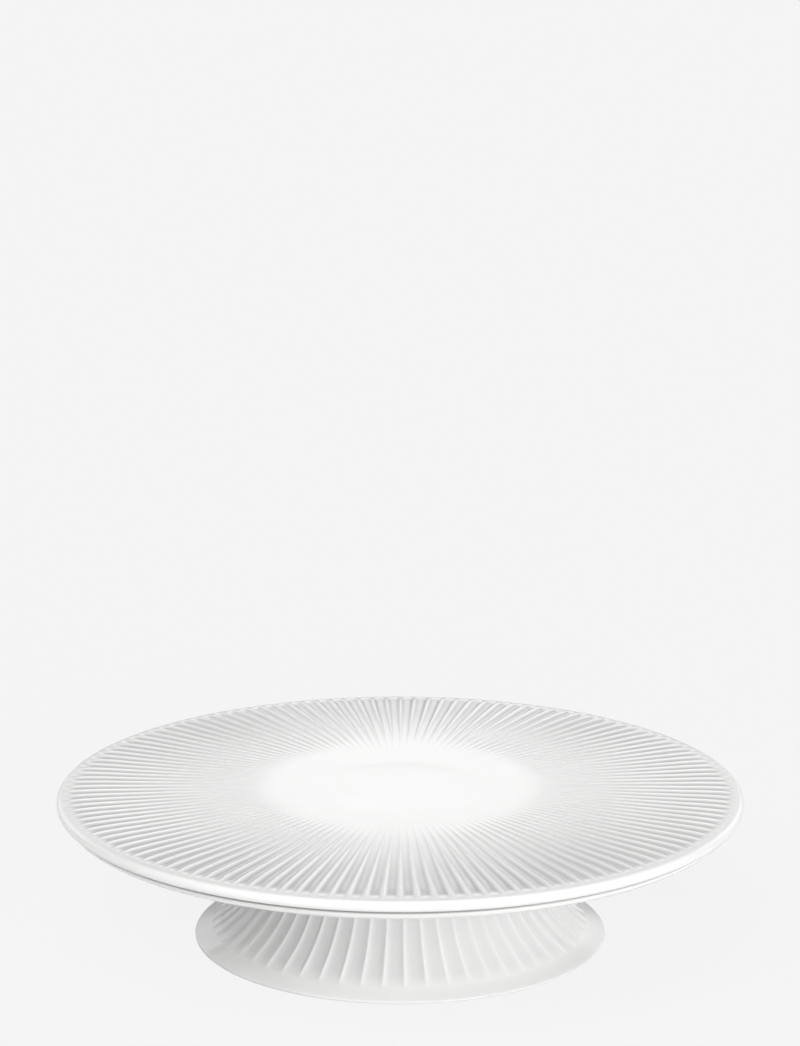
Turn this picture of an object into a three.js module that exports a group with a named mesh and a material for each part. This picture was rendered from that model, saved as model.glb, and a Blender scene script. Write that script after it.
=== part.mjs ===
// A low footed cake stand in white glazed ceramic: a fluted round plate on a
// flared, hollow, fluted foot. Millimetres, +Z up. The origin is on the axis,
// in the plane that the foot ring stands on, and -Y is the front.

import * as THREE from 'three';

// Driving dimensions
const PLATE_RADIUS = 150;
const OVERALL_HEIGHT = 66.8;
const FOOT_RADIUS = 90.5;
const NECK_RADIUS = 57;
const FOOT_WALL = 5;
const GAP = 0.3;

// The plate's rim: a round lip over a narrow groove and a shallower, set-in skirt
const LIP_RADIUS = 2.35;
const LIP_DROP = 1.25;
const SHOULDER_RADIUS = 137;
const SKIRT_TURN_RADIUS = 138;
const GROOVE_RADIUS = 142.6;
const GROOVE_WIDTH = 1.3;
const SKIRT_RADIUS = 146.6;
const SKIRT_INNER_RADIUS = 134;
const SKIRT_HEIGHT = 55.6;
const WEB_RADIUS = 124;
const UNDERSIDE_HEIGHT = 57.4;

// The plate's flutes: ridges stay level with the top, the hollows deepen outwards
const PLATE_FLUTES = 132;
const PLATE_FLUTE_DEPTH = 0.95;
const PLATE_FLUTE_START = 55;
const PLATE_FLUTE_MIDDLE = 105;
const PLATE_FLUTE_MIDDLE_DEPTH = 0.63;

// The foot's flutes, turned a little so that a ridge lies right of the front
const FOOT_FLUTES = 56;
const FOOT_FLUTE_DEPTH = 0.8;
const FOOT_FLUTE_PHASE = 0.023;
const BLUNT_END = 1.3;
const FLUTE_FOOT_RADIUS = 82;
const FLUTE_FOOT_HEIGHT = 6;
const FLUTE_TOP_HEIGHT = 44;
const NECK_HEIGHT = 48;

// The foot's edge
const FOOT_LIP_RADIUS = 0.7;
const FOOT_RING_INNER_RADIUS = 84.6;

// The two beads of slip that lute the foot to the plate
const OUTER_SEAM_SIZE = 8;
const INNER_SEAM_SIZE = 5;

const SAMPLES_PER_FLUTE = 2;
const SEAM_SEGMENTS = 56;

const row = (r, z, cutR = 0, cutZ = 0) => ({ r, z, cutR, cutZ });

// Rows along an arc about (r, z); angles in degrees from the outward direction
function arcRows(r, z, radiusR, radiusZ, from, to, steps) {
  const rows = [];
  for (let step = 0; step <= steps; step++) {
    const angle = THREE.MathUtils.degToRad(from + ((to - from) * step) / steps);
    rows.push(row(r + radiusR * Math.cos(angle), z + radiusZ * Math.sin(angle)));
  }
  return rows;
}

// A solid of revolution whose rows sink by (cutR, cutZ) in the middle of each flute
function flutedLathe(rows, flutes, phase) {
  const segments = flutes * SAMPLES_PER_FLUTE;
  const profile = rows.map(({ r, z }) => new THREE.Vector2(r, z));
  const geometry = new THREE.LatheGeometry(profile, segments, phase);
  const position = geometry.attributes.position;
  for (let step = 0; step <= segments; step++) {
    const turn = (2 * Math.PI * step) / segments;
    const hollow = (1 - Math.cos(flutes * turn)) / 2;
    rows.forEach(({ r, z, cutR, cutZ }, index) => {
      const radius = r + hollow * cutR;
      position.setXYZ(
        step * rows.length + index,
        radius * Math.sin(phase + turn),
        z + hollow * cutZ,
        radius * Math.cos(phase + turn),
      );
    });
  }
  return geometry.rotateX(Math.PI / 2);
}

function plainLathe(rows) {
  const profile = rows.map(({ r, z }) => new THREE.Vector2(r, z));
  return new THREE.LatheGeometry(profile, SEAM_SEGMENTS).rotateX(Math.PI / 2);
}

// Plate: from the axis out along the underside, round the rim and back over the top
function plateRows() {
  const lipCentre = PLATE_RADIUS - LIP_RADIUS;
  const lipHeight = OVERALL_HEIGHT - LIP_DROP - LIP_RADIUS;
  const grooveTop = lipHeight - LIP_RADIUS;
  const grooveHeight = grooveTop - GROOVE_WIDTH;
  const skirt = arcRows(
    SKIRT_TURN_RADIUS,
    grooveHeight,
    SKIRT_RADIUS - SKIRT_TURN_RADIUS,
    grooveHeight - SKIRT_HEIGHT,
    -90,
    0,
    3,
  );
  const lip = arcRows(lipCentre, lipHeight, LIP_RADIUS, LIP_RADIUS, -80, 90, 5);
  return [
    row(0, UNDERSIDE_HEIGHT),
    row(WEB_RADIUS, UNDERSIDE_HEIGHT),
    row(SKIRT_INNER_RADIUS, SKIRT_HEIGHT),
    ...skirt,
    row(GROOVE_RADIUS, grooveHeight),
    row(GROOVE_RADIUS, grooveTop),
    ...lip,
    row(SHOULDER_RADIUS, OVERALL_HEIGHT, 0, -PLATE_FLUTE_DEPTH),
    row(PLATE_FLUTE_MIDDLE, OVERALL_HEIGHT, 0, -PLATE_FLUTE_MIDDLE_DEPTH),
    row(PLATE_FLUTE_START, OVERALL_HEIGHT),
    row(0, OVERALL_HEIGHT),
  ];
}

// Foot: the ring it stands on, the lip, the flared outside, the top and the hollow inside
function footRows() {
  const top = UNDERSIDE_HEIGHT - GAP;
  const lipCentre = FOOT_RADIUS - FOOT_LIP_RADIUS;
  const flare = new THREE.CubicBezierCurve(
    new THREE.Vector2(FLUTE_FOOT_RADIUS, FLUTE_FOOT_HEIGHT),
    new THREE.Vector2(FLUTE_FOOT_RADIUS - 10, FLUTE_FOOT_HEIGHT + 6),
    new THREE.Vector2(NECK_RADIUS, FLUTE_FOOT_HEIGHT + 20),
    new THREE.Vector2(NECK_RADIUS, NECK_HEIGHT),
  );
  const hollow = new THREE.CubicBezierCurve(
    new THREE.Vector2(NECK_RADIUS - FOOT_WALL, top),
    new THREE.Vector2(NECK_RADIUS - FOOT_WALL, top - 33),
    new THREE.Vector2(NECK_RADIUS + 11, FLUTE_FOOT_HEIGHT + 2.5),
    new THREE.Vector2(FLUTE_FOOT_RADIUS - 2.4, FLUTE_FOOT_HEIGHT - 4),
  );
  const flareSteps = 8;
  const outside = [];
  for (let step = 0; step <= flareSteps; step++) {
    const point = flare.getPoint(step / flareSteps);
    const tangent = flare.getTangent(step / flareSteps);
    if (step === 0) {
      // The band meets the hollows, so the ridges stand proud of it with blunt ends
      const bandRadius = point.x - FOOT_FLUTE_DEPTH * tangent.y - BLUNT_END * tangent.x;
      const bandHeight = point.y + FOOT_FLUTE_DEPTH * tangent.x - BLUNT_END * tangent.y;
      outside.push(row(bandRadius, bandHeight));
    }
    const depth = point.y < FLUTE_TOP_HEIGHT ? FOOT_FLUTE_DEPTH : 0;
    outside.push(row(point.x, point.y, -depth * tangent.y, depth * tangent.x));
  }
  const inside = hollow.getPoints(5).map(({ x, y }) => row(x, y));
  const lip = arcRows(lipCentre, FOOT_LIP_RADIUS, FOOT_LIP_RADIUS, FOOT_LIP_RADIUS, -90, 66, 4);
  const ring = row(FOOT_RING_INNER_RADIUS, 0);
  return [ring, ...lip, ...outside, row(NECK_RADIUS, top), ...inside, ring];
}

// Outer seam: a concave fillet between the foot's neck and the plate's underside
function outerSeamRows() {
  const inner = NECK_RADIUS + GAP;
  const top = UNDERSIDE_HEIGHT - GAP;
  const centre = inner + OUTER_SEAM_SIZE;
  const fillet = arcRows(
    centre,
    top - OUTER_SEAM_SIZE,
    OUTER_SEAM_SIZE,
    OUTER_SEAM_SIZE,
    180,
    90,
    4,
  );
  return [...fillet, row(inner, top), fillet[0]];
}

// Inner seam: the bead of slip left in the corner inside the hollow foot
function innerSeamRows() {
  const outer = NECK_RADIUS - FOOT_WALL - GAP;
  const top = UNDERSIDE_HEIGHT - GAP;
  const centre = outer - INNER_SEAM_SIZE;
  const bead = arcRows(
    centre,
    top - INNER_SEAM_SIZE,
    INNER_SEAM_SIZE,
    INNER_SEAM_SIZE,
    90,
    0,
    3,
  );
  return [row(outer, top), ...bead, row(outer, top)];
}

function glaze(color, roughness) {
  return new THREE.MeshStandardMaterial({ color, roughness, metalness: 0 });
}

function piece(name, geometry, material) {
  const mesh = new THREE.Mesh(geometry, material);
  mesh.name = name;
  return mesh;
}

const cakeStand = new THREE.Group();
cakeStand.name = 'cake_stand';
cakeStand.add(
  piece('plate', flutedLathe(plateRows(), PLATE_FLUTES, 0), glaze(0xf4f4f2, 0.12)),
  piece('foot', flutedLathe(footRows(), FOOT_FLUTES, FOOT_FLUTE_PHASE), glaze(0xf1f2f0, 0.14)),
  piece('outer_luting_seam', plainLathe(outerSeamRows()), glaze(0xf0f0ee, 0.18)),
  piece('inner_luting_seam', plainLathe(innerSeamRows()), glaze(0xe9e7e2, 0.3)),
);

export default cakeStand;
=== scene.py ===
import math

import bpy
import numpy as np
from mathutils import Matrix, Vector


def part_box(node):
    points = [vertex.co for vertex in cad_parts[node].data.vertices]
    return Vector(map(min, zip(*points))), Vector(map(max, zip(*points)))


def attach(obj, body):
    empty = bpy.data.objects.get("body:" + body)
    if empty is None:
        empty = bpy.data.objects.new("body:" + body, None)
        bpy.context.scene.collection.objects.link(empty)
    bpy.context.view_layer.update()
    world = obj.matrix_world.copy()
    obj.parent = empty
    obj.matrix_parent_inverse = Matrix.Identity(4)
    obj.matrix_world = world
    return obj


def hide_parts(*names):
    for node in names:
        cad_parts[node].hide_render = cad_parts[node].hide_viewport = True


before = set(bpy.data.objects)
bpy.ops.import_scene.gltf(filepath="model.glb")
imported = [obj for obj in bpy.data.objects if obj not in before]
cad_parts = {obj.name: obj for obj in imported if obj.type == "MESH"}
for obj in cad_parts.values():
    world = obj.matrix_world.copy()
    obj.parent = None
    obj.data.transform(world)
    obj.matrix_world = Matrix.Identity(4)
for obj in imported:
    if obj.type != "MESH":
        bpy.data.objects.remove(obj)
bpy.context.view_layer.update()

# Profiles are worked out in millimetres, as (radius, height) rows round the Z axis, and run
# counter-clockwise.
MM = 0.001
PLATE_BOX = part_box("plate")
FOOT_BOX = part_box("foot")
PLATE_RADIUS = PLATE_BOX[1].x / MM
TOP_HEIGHT = PLATE_BOX[1].z / MM
SKIRT_HEIGHT = PLATE_BOX[0].z / MM
FOOT_TOP = FOOT_BOX[1].z / MM
FOOT_RADIUS = (FOOT_BOX[1].x - FOOT_BOX[0].x) / 2 / MM
GAP = 0.3    # between the foot and the plate
UNDERSIDE = FOOT_TOP + GAP

PLATE_FLUTES = 132
PLATE_FLUTE_DEPTH = 0.95
FLUTE_START, FLUTE_FULL = 55.0, 125.0    # radii between which a flute deepens
FLUTE_GROWTH = 1.2    # 1 deepens evenly, and more starts more gently
FLUTE_FADE, FLUTE_END = 140.5, 147.6    # radii between which it runs out
SHOULDER_RADIUS = 130.0    # where the top begins to roll down to the lip
LIP_RADIUS, LIP_DROP = 2.35, 1.25
LIP_START, LIP_FINISH = -80, 84    # degrees of the lip's arc, with 0 straight outwards
GROOVE_RADIUS, GROOVE_WIDTH = 142.6, 1.3
GROOVE_DIP, GROOVE_ROOF = 0.5, 0.2    # how far its floor falls, and its roof comes down, inwards
GROOVE_PAINTED_SHADE = 1.6    # painted shade that darkens the groove, counted as depth of a flute
SKIRT_RADIUS, SKIRT_TURN, SKIRT_INNER = 146.6, 138.0, 134.0
SKIRT_ARRIS = 0.2    # how far the corner below the groove is broken
WEB_RADIUS = 124.0    # where the flat underside ends
WELL_RADIUS, WELL_EDGE, WELL_DEPTH = 32.0, 4.0, 0.25    # a faint hollow in the middle of the top

FOOT_FLUTES = 56
FOOT_FLUTE_DEPTH = 0.8
FOOT_TIP_SHARE = 0.45    # how far a ridge stands up at its blunt lower end
FOOT_FLUTE_PHASE = 0.023    # radians by which the ridges lie off the front
NECK_RADIUS, NECK_HEIGHT = 57.0, 48.0
NECK_COLLAR = 4.0    # from the top of the flare to the one plain row above it
FOOT_WALL = 5.0
FLUTE_FOOT_RADIUS, FLUTE_FOOT_HEIGHT = 82.0, 6.0    # the flutes' lower end
FLARE_ALONG, FLARE_OUT = (-0.857, 0.515), (0.515, 0.857)    # up the flare there, and off it
FOOT_LIP_RADIUS = 0.7
BLUNT_END = 1.3    # from the flutes' lower end down to the smooth band
RING_INNER = 84.6
RING_CLAY = 0.6    # how far inside the ring the bare clay reaches
FLUTE_TOP_FADE, FLUTE_TOP = 40.0, 49.0    # heights between which a flute runs out
OUTER_SEAM_SIZE, INNER_SEAM_SIZE = 8.0, 5.0
SEAM_SEGMENTS = 240
LET_IN = 0.1    # how far a seam sinks into its neighbours

# Where each flute is sampled, as shares of its pitch from the ridge (0) to mid-hollow (0.5)
FLUTE_SAMPLES = (0.0, 0.035, 0.075, 0.13, 0.22, 0.35, 0.5)
PLATE_ARRIS, FOOT_ARRIS = 0.07, 0.04    # half the width of a rounded ridge, as a share of the pitch
PLATE_POWER, FOOT_POWER = 2.8, 3.2    # 2 is a parabola, and more has a flatter floor

# The pooled colours darken the flutes' hollows: partly glaze that lies thicker there, partly painted
# shade.
PLATE_THIN, PLATE_POOLED_SHADE = (0.90, 0.90, 0.893, 1), (0.62, 0.622, 0.617, 1)
# A painted light: a whiter colour for the plate's flat middle.
PLATE_PAINTED_LIGHT = (0.925, 0.925, 0.918, 1)
PAINTED_LIGHT_RADIUS, PAINTED_LIGHT_END = 0.055, 0.125    # metres over which the painted light on the plate's middle fades
# The foot's pooled colour is also partly glaze lying thicker in the hollows and partly painted shade.
FOOT_THIN, FOOT_POOLED_SHADE = (0.95, 0.95, 0.945, 1), (0.84, 0.842, 0.838, 1)
SLIP_THIN, SLIP_POOLED = (0.80, 0.79, 0.765, 1), (0.76, 0.75, 0.72, 1)
CLAY_DARK, CLAY_LIGHT = (0.70, 0.66, 0.60, 1), (0.80, 0.77, 0.72, 1)
GLAZE_ROUGHNESS, SLIP_ROUGHNESS, CLAY_ROUGHNESS = 0.10, 0.25, 0.85
GLAZE_IOR = 1.52
GLAZE_RELIEF, CLAY_RELIEF = 0.00003, 0.0001    # height of the bumps, in metres


def smooth(value, low, high):
    """0 below low, 1 above high, and an even S between them."""
    t = np.clip((np.asarray(value, float) - low) / (high - low), 0, 1)
    return t * t * (3 - 2 * t)


def arc(r, z, radius_r, radius_z, start, end, steps):
    """Rows on a round or oval arc about (r, z), between two angles in degrees."""
    turn = np.radians(np.linspace(start, end, steps + 1))
    return np.column_stack([r + radius_r * np.cos(turn), z + radius_z * np.sin(turn)])


def bezier(points, steps):
    """Rows on the cubic curve of four points."""
    t = np.linspace(0, 1, steps + 1)[:, None]
    a, b, c, d = (np.array(p, float) for p in points)
    return a * (1 - t) ** 3 + b * 3 * (1 - t) ** 2 * t + c * 3 * (1 - t) * t**2 + d * t**3


def flute_angles(count, phase):
    """Angles round the axis, and how far each lies from its flute's ridge as a share of the pitch."""
    one = np.array(FLUTE_SAMPLES[:-1] + tuple(1 - s for s in FLUTE_SAMPLES[:0:-1]))
    share = np.tile(one, count)
    angles = phase + (np.repeat(np.arange(count), len(one)) + share) * 2 * math.pi / count
    return angles, np.minimum(share, 1 - share)


def scallop(share, arris, power):
    """Depth of a flute, 0 on the rounded ridge and 1 in the middle of the concave hollow."""
    hollow = 1 - (1 - 2 * share) ** power
    slope = power * (1 - 2 * arris) ** (power - 1) / arris
    edge = 1 - (1 - 2 * arris) ** power
    crest = edge - slope * arris**2
    depth = np.where(share < arris, crest + slope * share**2, hollow)
    return (depth - crest) / (1 - crest)


def normals(rows):
    """Unit vectors square to a profile, on the outer side of a counter-clockwise profile."""
    along = np.gradient(rows, axis=0)
    along /= np.linalg.norm(along, axis=1)[:, None]
    return np.column_stack([along[:, 1], -along[:, 0]])


def revolve(name, rows, cuts, angles, hollow, closed, painted_shade=0.0):
    """A solid of revolution, whose rows sink by cuts (two numbers a row) in the middle of each flute.

    The stored attribute is how thick the glaze lies and how much painted shade the hollows take, from
    the depth of the flutes and from the extra painted shade that is given.
    """
    depth = hollow[None, :]
    radius = rows[:, 0:1] + cuts[:, 0:1] * depth
    height = rows[:, 1:2] + cuts[:, 1:2] * depth
    x = radius * np.sin(angles)[None, :]
    y = -radius * np.cos(angles)[None, :]
    points = np.stack([x, y, height], -1) * MM
    # Glaze pooling plus painted shade, from the depth of each flute and any extra painted shade.
    pooled_shade = np.linalg.norm(cuts, axis=1)[:, None] * depth + np.reshape(painted_shade, (-1, 1))
    around = len(angles)
    grid = np.arange(len(rows) * around).reshape(len(rows), around)
    faces = []
    if closed:
        bands = list(zip(grid, np.roll(grid, -1, axis=0)))
        vertices = points.reshape(-1, 3)
        pool_shade = pooled_shade.ravel()
    else:
        inner = points[1:-1].reshape(-1, 3)
        grid = np.arange(len(inner)).reshape(len(rows) - 2, around)
        ends = np.array([[0, 0, rows[0, 1]], [0, 0, rows[-1, 1]]]) * MM
        vertices = np.vstack([inner, ends])
        pool_shade = np.append(pooled_shade[1:-1].ravel(), [0, 0])
        bands = list(zip(grid[:-1], grid[1:]))
        low, high = len(inner), len(inner) + 1
        first, last = grid[0], grid[-1]
        faces += [(low, int(b), int(a)) for a, b in zip(first, np.roll(first, -1))]
        faces += [(high, int(a), int(b)) for a, b in zip(last, np.roll(last, -1))]
    for lower, upper in bands:
        quads = np.column_stack([lower, np.roll(lower, -1), np.roll(upper, -1), upper])
        faces += quads.tolist()
    mesh = bpy.data.meshes.new(name)
    mesh.from_pydata(vertices.tolist(), [], faces)
    mesh.polygons.foreach_set("use_smooth", [True] * len(mesh.polygons))
    attribute = mesh.attributes.new("pool_shade", "FLOAT", "POINT")
    attribute.data.foreach_set("value", pool_shade.astype(np.float32))
    mesh.update()
    piece = bpy.data.objects.new(name, mesh)
    bpy.context.scene.collection.objects.link(piece)
    return piece


def plate_profile():
    """The plate's rows from the middle of its underside to the middle of its top."""
    lip_centre = PLATE_RADIUS - LIP_RADIUS
    lip_height = TOP_HEIGHT - LIP_DROP - LIP_RADIUS
    groove = lip_height - LIP_RADIUS - GROOVE_WIDTH
    web = np.column_stack([[0, 80, WEB_RADIUS - 1], [UNDERSIDE] * 3])
    step_r = np.linspace(WEB_RADIUS, SKIRT_INNER, 6)
    step_z = UNDERSIDE + (SKIRT_HEIGHT - UNDERSIDE) * smooth(step_r, WEB_RADIUS, SKIRT_INNER)
    step = np.column_stack([step_r, step_z])
    skirt_top = groove - SKIRT_ARRIS
    drop = skirt_top - SKIRT_HEIGHT
    skirt = arc(SKIRT_TURN, skirt_top, SKIRT_RADIUS - SKIRT_TURN, drop, -90, 0, 9)
    notch = np.array([
        (SKIRT_RADIUS - SKIRT_ARRIS, groove),
        (GROOVE_RADIUS, groove - GROOVE_DIP),
        (GROOVE_RADIUS, groove + GROOVE_WIDTH - GROOVE_ROOF),
    ])
    lip = arc(lip_centre, lip_height, LIP_RADIUS, LIP_RADIUS, LIP_START, LIP_FINISH, 13)
    well_in, well_out = WELL_RADIUS - WELL_EDGE, WELL_RADIUS + WELL_EDGE
    top_r = np.concatenate([
        np.linspace(lip_centre, FLUTE_FADE, 8),
        np.linspace(FLUTE_FADE - 2, FLUTE_START, 13),
        [50, well_out, WELL_RADIUS + 1, WELL_RADIUS - 1, well_in, 15, 0],
    ])
    roll = np.clip((top_r - SHOULDER_RADIUS) / (lip_centre - SHOULDER_RADIUS), 0, None)
    well = WELL_DEPTH * (1 - smooth(top_r, well_in, well_out))
    top = np.column_stack([top_r, TOP_HEIGHT - LIP_DROP * roll**3 - well])
    rows = np.vstack([web, step, skirt, notch, lip, top])
    reach = np.clip((rows[:, 0] - FLUTE_START) / (FLUTE_FULL - FLUTE_START), 0, 1)
    depth = reach**FLUTE_GROWTH * (1 - smooth(rows[:, 0], FLUTE_FADE, FLUTE_END))
    cuts = np.zeros_like(rows)
    cuts[:, 1] = np.where(rows[:, 1] > lip_height, -PLATE_FLUTE_DEPTH * depth, 0)
    # Painted shade, darkening the groove's floor.
    painted_shade = np.where(rows[:, 0] == GROOVE_RADIUS, GROOVE_PAINTED_SHADE, 0)
    return rows, cuts, painted_shade


def foot_profile():
    """The foot's rows, from the ring that it stands on, up the outside and down the inside."""
    lip_centre = FOOT_RADIUS - FOOT_LIP_RADIUS
    lip = arc(lip_centre, FOOT_LIP_RADIUS, FOOT_LIP_RADIUS, FOOT_LIP_RADIUS, -90, 66, 10)
    tip = np.array((FLUTE_FOOT_RADIUS, FLUTE_FOOT_HEIGHT))
    along, out = np.array(FLARE_ALONG), np.array(FLARE_OUT)
    band_end = tip - FOOT_FLUTE_DEPTH * out - BLUNT_END * along
    band = bezier([
        lip[-1],
        lip[-1] + (-2.5, 1.05),
        band_end - 2.0 * along,
        band_end,
    ], 12)[1:]
    step = 0.5 * FOOT_TIP_SHARE * FOOT_FLUTE_DEPTH * out
    blunt = np.array([band_end + step + 0.35 * along])
    flare = bezier([
        tip,
        tip + (-10, 6),
        (NECK_RADIUS, FLUTE_FOOT_HEIGHT + 20),
        (NECK_RADIUS, NECK_HEIGHT),
    ], 44)
    outward = normals(flare)
    rise = FOOT_TIP_SHARE + (1 - FOOT_TIP_SHARE) * smooth(np.arange(len(flare)), 0, 6)
    flare -= outward * (FOOT_FLUTE_DEPTH * (1 - rise))[:, None]
    neck = np.array([(NECK_RADIUS, NECK_HEIGHT + NECK_COLLAR), (NECK_RADIUS, FOOT_TOP)])
    hollow = bezier([
        (NECK_RADIUS - FOOT_WALL, FOOT_TOP),
        (NECK_RADIUS - FOOT_WALL, FOOT_TOP - 33),
        (NECK_RADIUS + 11, FLUTE_FOOT_HEIGHT + 2.5),
        (FLUTE_FOOT_RADIUS - 2.4, FLUTE_FOOT_HEIGHT - 4),
    ], 22)
    ring = np.array([(RING_INNER - 1.2, 0.5), (RING_INNER - 0.3, 0.08), (RING_INNER, 0.0)])
    rows = np.vstack([ring, lip, band, blunt, flare, neck, hollow])
    cuts = np.zeros_like(rows)
    first = len(ring) + len(lip) + len(band)
    cuts[first] = -step
    last = first + 1 + len(flare)
    depth = FOOT_FLUTE_DEPTH * rise * (1 - smooth(flare[:, 1], FLUTE_TOP_FADE, FLUTE_TOP))
    cuts[first + 1:last] = -outward * depth[:, None]
    return rows, cuts


def seam_profiles():
    """The outer fillet and the inner bead, each let a little into its neighbours."""
    inner = NECK_RADIUS - LET_IN
    size = OUTER_SEAM_SIZE + LET_IN
    low = UNDERSIDE - size
    fillet = arc(inner + size, low, size, size, 180, 90, 14)
    outer_rows = np.vstack([fillet, [(inner, UNDERSIDE)]])
    outer = NECK_RADIUS - FOOT_WALL + LET_IN
    size = INNER_SEAM_SIZE + LET_IN
    bead = arc(outer - size, UNDERSIDE - size, size, size, 90, 0, 10)
    inner_rows = np.vstack([[(outer, UNDERSIDE)], bead])
    return outer_rows, inner_rows


class Nodes:
    """A small helper that adds nodes to a tree and joins them."""

    def __init__(self, tree):
        self.tree = tree
        tree.nodes.clear()

    def add(self, kind, inputs=(), **settings):
        node = self.tree.nodes.new(kind)
        for key, value in settings.items():
            setattr(node, key, value)
        for key, value in dict(inputs).items():
            if isinstance(value, bpy.types.NodeSocket):
                self.tree.links.new(value, node.inputs[key])
            else:
                node.inputs[key].default_value = value
        return node

    def math(self, operation, *values):
        return self.add("ShaderNodeMath", enumerate(values), operation=operation).outputs[0]

    def span(self, value, low, high, to_low, to_high):
        """Carries low..high over to to_low..to_high, on an even S."""
        inputs = {
            "Value": value,
            "From Min": low,
            "From Max": high,
            "To Min": to_low,
            "To Max": to_high,
        }
        kind = "ShaderNodeMapRange"
        return self.add(kind, inputs, interpolation_type="SMOOTHSTEP").outputs["Result"]

    def mix(self, factor, a, b):
        """A colour from a to b. In this node the colours are inputs 6 and 7, and output 2."""
        return self.add("ShaderNodeMix", {0: factor, 6: a, 7: b}, data_type="RGBA").outputs[2]

    def noise(self, vector, scale, detail=2.0):
        inputs = {"Vector": vector, "Scale": scale, "Detail": detail}
        return self.add("ShaderNodeTexNoise", inputs).outputs["Fac"]


def glaze(name, thin, pooled_shade, roughness, middle=None):
    """Porcelain glaze, darker in the hollows, partly where it pools and partly as painted shade, and
    whitened in the middle by a painted light where that is given.
    """
    material = bpy.data.materials.new(name)
    material.use_nodes = True
    n = Nodes(material.node_tree)
    place = n.add("ShaderNodeTexCoord").outputs["Object"]
    # How dark the glaze is: pooled glaze and painted shade in the hollows, with a little random
    # patchiness.
    pool_shade = n.add("ShaderNodeAttribute", attribute_name="pool_shade").outputs["Fac"]
    cloud = n.noise(place, 22.0, 3.0)
    patchy = n.span(cloud, 0.35, 0.65, -0.03, 0.03)
    depth = n.math("ADD", n.span(pool_shade, 0.0, 1.0, 0.0, 1.0), patchy)
    # Painted light: the plate's flat middle is made whiter.
    if middle:
        radius = n.add("ShaderNodeVectorMath", {0: place}, operation="LENGTH").outputs["Value"]
        thin = n.mix(n.span(radius, PAINTED_LIGHT_RADIUS, PAINTED_LIGHT_END, 0.0, 1.0), middle, thin)
    colour = n.mix(depth, thin, pooled_shade)
    smear = n.span(n.noise(place, 60.0, 3.0), 0.3, 0.7, roughness * 0.75, roughness * 1.35)
    ripple = n.noise(place, 130.0, 2.0)
    peel = n.noise(place, 900.0, 2.0)
    level = n.math("MULTIPLY_ADD", peel, 0.06, ripple)
    bump = n.add("ShaderNodeBump", {"Strength": 1.0, "Distance": GLAZE_RELIEF, "Height": level})
    shader = n.add("ShaderNodeBsdfPrincipled", {
        "Base Color": colour,
        "Roughness": smear,
        "IOR": GLAZE_IOR,
        "Normal": bump.outputs["Normal"],
    })
    n.add("ShaderNodeOutputMaterial", {"Surface": shader.outputs[0]})
    return material


def bisque(name):
    """The dry, unglazed clay of the ring that the foot stands on."""
    material = bpy.data.materials.new(name)
    material.use_nodes = True
    n = Nodes(material.node_tree)
    place = n.add("ShaderNodeTexCoord").outputs["Object"]
    grit = n.noise(place, 2200.0, 4.0)
    colour = n.mix(grit, CLAY_DARK, CLAY_LIGHT)
    bump = n.add("ShaderNodeBump", {"Strength": 0.6, "Distance": CLAY_RELIEF, "Height": grit})
    shader = n.add("ShaderNodeBsdfPrincipled", {
        "Base Color": colour,
        "Roughness": CLAY_ROUGHNESS,
        "Normal": bump.outputs["Normal"],
    })
    n.add("ShaderNodeOutputMaterial", {"Surface": shader.outputs[0]})
    return material


def build_plate():
    angles, share = flute_angles(PLATE_FLUTES, 0.0)
    hollow = scallop(share, PLATE_ARRIS, PLATE_POWER)
    rows, cuts, painted_shade = plate_profile()
    plate = revolve("glazed_plate", rows, cuts, angles, hollow, closed=False, painted_shade=painted_shade)
    plate.data.materials.append(
        glaze("white_glaze", PLATE_THIN, PLATE_POOLED_SHADE, GLAZE_ROUGHNESS, PLATE_PAINTED_LIGHT))
    return plate


def build_foot(glazed):
    """The foot, with bare clay on the ring that it stands on."""
    angles, share = flute_angles(FOOT_FLUTES, FOOT_FLUTE_PHASE)
    hollow = scallop(share, FOOT_ARRIS, FOOT_POWER)
    foot = revolve("glazed_foot", *foot_profile(), angles, hollow, closed=True)
    foot.data.materials.append(glazed)
    foot.data.materials.append(bisque("bisque"))
    ring_top = 0.15 * MM
    ring_start = (RING_INNER - RING_CLAY) * MM
    for face in foot.data.polygons:
        radius = math.hypot(face.center.x, face.center.y)
        if face.center.z < ring_top and radius > ring_start:
            face.material_index = 1
    return foot


def build_seam(name, rows, material):
    around = np.linspace(0, 2 * math.pi, SEAM_SEGMENTS, endpoint=False)
    seam = revolve(name, rows, rows * 0, around, around * 0, closed=True)
    seam.data.materials.append(material)
    return seam


def build_stand():
    plate = build_plate()
    foot_glaze = glaze("foot_glaze", FOOT_THIN, FOOT_POOLED_SHADE, GLAZE_ROUGHNESS)
    foot = build_foot(foot_glaze)
    outer_rows, inner_rows = seam_profiles()
    outer = build_seam("outer_seam", outer_rows, foot_glaze)
    slip_glaze = glaze("slip_glaze", SLIP_THIN, SLIP_POOLED, SLIP_ROUGHNESS)
    inner = build_seam("inner_seam", inner_rows, slip_glaze)
    parts = (
        (plate, "plate", "white_glaze"),
        (foot, "foot", "foot_glaze"),
        (outer, "outer_luting_seam", "foot_glaze"),
        (inner, "inner_luting_seam", "slip_bead"),
    )
    for piece, node, slot in parts:
        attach(piece, "root")
        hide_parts(node)


# The camera is in front of the stand and above it. Places are in metres.
CAMERA_DISTANCE = 1.367
CAMERA_ELEVATION = math.radians(17.975)
AIM_HEIGHT = 0.050    # of the point on the stand's axis that distance and elevation start from
LOOK_DOWN = math.radians(12.46)
ROLL = math.radians(-0.10)
TURN = math.radians(0.037)
FOCAL_LENGTH = 106.5    # on Blender's own 36 mm sensor
FAR_CLIP = 100


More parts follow.
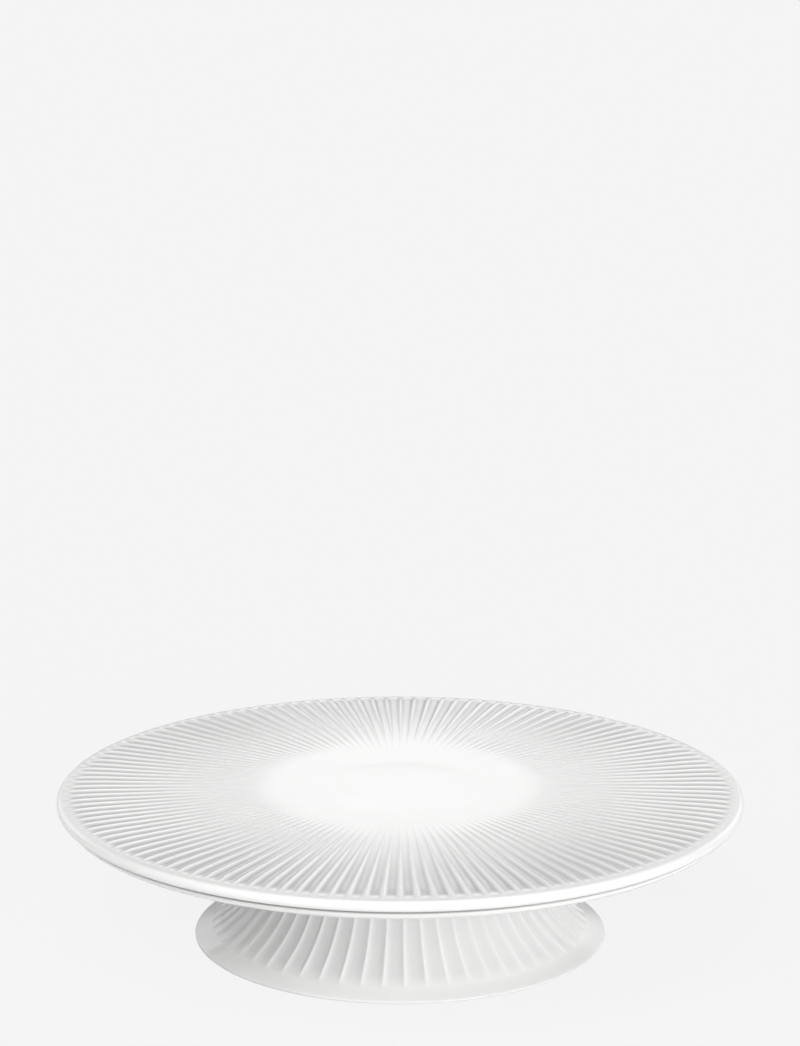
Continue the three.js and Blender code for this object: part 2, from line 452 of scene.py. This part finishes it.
def build_camera():
    data = bpy.data.cameras.new("camera")
    data.lens = FOCAL_LENGTH
    data.clip_end = FAR_CLIP
    camera = bpy.data.objects.new("camera", data)
    back = CAMERA_DISTANCE * math.cos(CAMERA_ELEVATION)
    rise = CAMERA_DISTANCE * math.sin(CAMERA_ELEVATION)
    camera.location = (0, -back, AIM_HEIGHT + rise)
    camera.rotation_euler = (math.pi / 2 - LOOK_DOWN, ROLL, TURN)
    bpy.context.scene.collection.objects.link(camera)
    bpy.context.scene.camera = camera


BACKDROP = 0.913    # the pale grey of the backdrop
FLOOR_RADIUS = 30.0
FLOOR_CORNERS = 64
FLOOR_GLOW = 0.95    # how far the paper is lit from below, which leaves only a faint shadow
PAPER_DARK, PAPER_LIGHT = (0.895, 0.895, 0.895, 1), (0.905, 0.905, 0.905, 1)


def build_floor():
    mesh = bpy.data.meshes.new("floor")
    turn = np.linspace(0, 2 * math.pi, FLOOR_CORNERS, endpoint=False)
    corners = [(FLOOR_RADIUS * math.cos(t), FLOOR_RADIUS * math.sin(t), 0) for t in turn]
    mesh.from_pydata(corners, [], [list(range(FLOOR_CORNERS))])
    floor = bpy.data.objects.new("floor", mesh)
    bpy.context.scene.collection.objects.link(floor)
    material = bpy.data.materials.new("floor_paper")
    material.use_nodes = True
    n = Nodes(material.node_tree)
    place = n.add("ShaderNodeTexCoord").outputs["Object"]
    grain = n.mix(n.noise(place, 300.0, 3.0), PAPER_DARK, PAPER_LIGHT)
    shader = n.add("ShaderNodeBsdfPrincipled", {
        "Base Color": grain,
        "Roughness": 0.9,
        "Specular IOR Level": 0.0,
    })
    glow = n.add("ShaderNodeEmission", {"Color": (BACKDROP,) * 3 + (1,)})
    seen = n.add("ShaderNodeLightPath").outputs["Is Camera Ray"]
    share = n.math("MULTIPLY", seen, FLOOR_GLOW)
    both = n.add("ShaderNodeMixShader", {0: share, 1: shader.outputs[0], 2: glow.outputs[0]})
    n.add("ShaderNodeOutputMaterial", {"Surface": both.outputs[0]})
    mesh.materials.append(material)


# Soft boxes round the stand, as (azimuth, elevation, full inside, gone outside, strength), all but
# the strength in degrees. Azimuth 0 is the front, and 90 the right.
FRONT_BOXES = (
    (30, 16, 4, 24, 3.3),
    (60, 16, 4, 24, 3.3),
    (30, 3, 4, 24, 1.5),
)
FRONT_GLINT = 0.25    # how much of the front boxes shows in reflections, to keep down their glare
OTHER_BOXES = (
    (0, 30, 4, 24, 1.0),
    (315, 47, 4, 24, 5.0),
    (0, 74, 4, 24, 3.6),
    (150, 16, 4, 24, 1.3),
    (210, 16, 4, 24, 1.2),
    (180, 16, 2, 11, 1.1),
    (180, 4, 4, 24, 0.4),
)


def soft_box(n, direction, azimuth, elevation, full, gone, strength):
    """The light that one box gives in a direction, full near its middle and gone at its edge."""
    turn, rise = math.radians(azimuth), math.radians(elevation)
    level = math.cos(rise)
    towards = (math.sin(turn) * level, -math.cos(turn) * level, math.sin(rise))
    dot = n.add("ShaderNodeVectorMath", {0: direction, 1: towards}, operation="DOT_PRODUCT")
    edge, core = math.cos(math.radians(gone)), math.cos(math.radians(full))
    return n.span(dot.outputs["Value"], edge, core, 0.0, strength)


def all_boxes(n, direction, group):
    light = soft_box(n, direction, *group[0])
    for box in group[1:]:
        light = n.math("ADD", light, soft_box(n, direction, *box))
    return light


def build_light():
    world = bpy.data.worlds.new("studio")
    world.use_nodes = True
    bpy.context.scene.world = world
    n = Nodes(world.node_tree)
    direction = n.add("ShaderNodeTexCoord").outputs["Generated"]
    path = n.add("ShaderNodeLightPath")
    dimmer = n.span(path.outputs["Is Glossy Ray"], 0.0, 1.0, 1.0, FRONT_GLINT)
    front = n.math("MULTIPLY", all_boxes(n, direction, FRONT_BOXES), dimmer)
    light = n.math("ADD", front, all_boxes(n, direction, OTHER_BOXES))
    seen = path.outputs["Is Camera Ray"]
    shown = n.add("ShaderNodeBackground", {"Color": (BACKDROP,) * 3 + (1,)})
    lit = n.add("ShaderNodeBackground", {"Color": (1, 1, 1, 1), "Strength": light})
    both = n.add("ShaderNodeMixShader", {0: seen, 1: lit.outputs[0], 2: shown.outputs[0]})
    n.add("ShaderNodeOutputWorld", {"Surface": both.outputs[0]})
    bpy.context.scene.view_settings.view_transform = "Standard"


build_stand()
build_camera()
build_floor()
build_light()
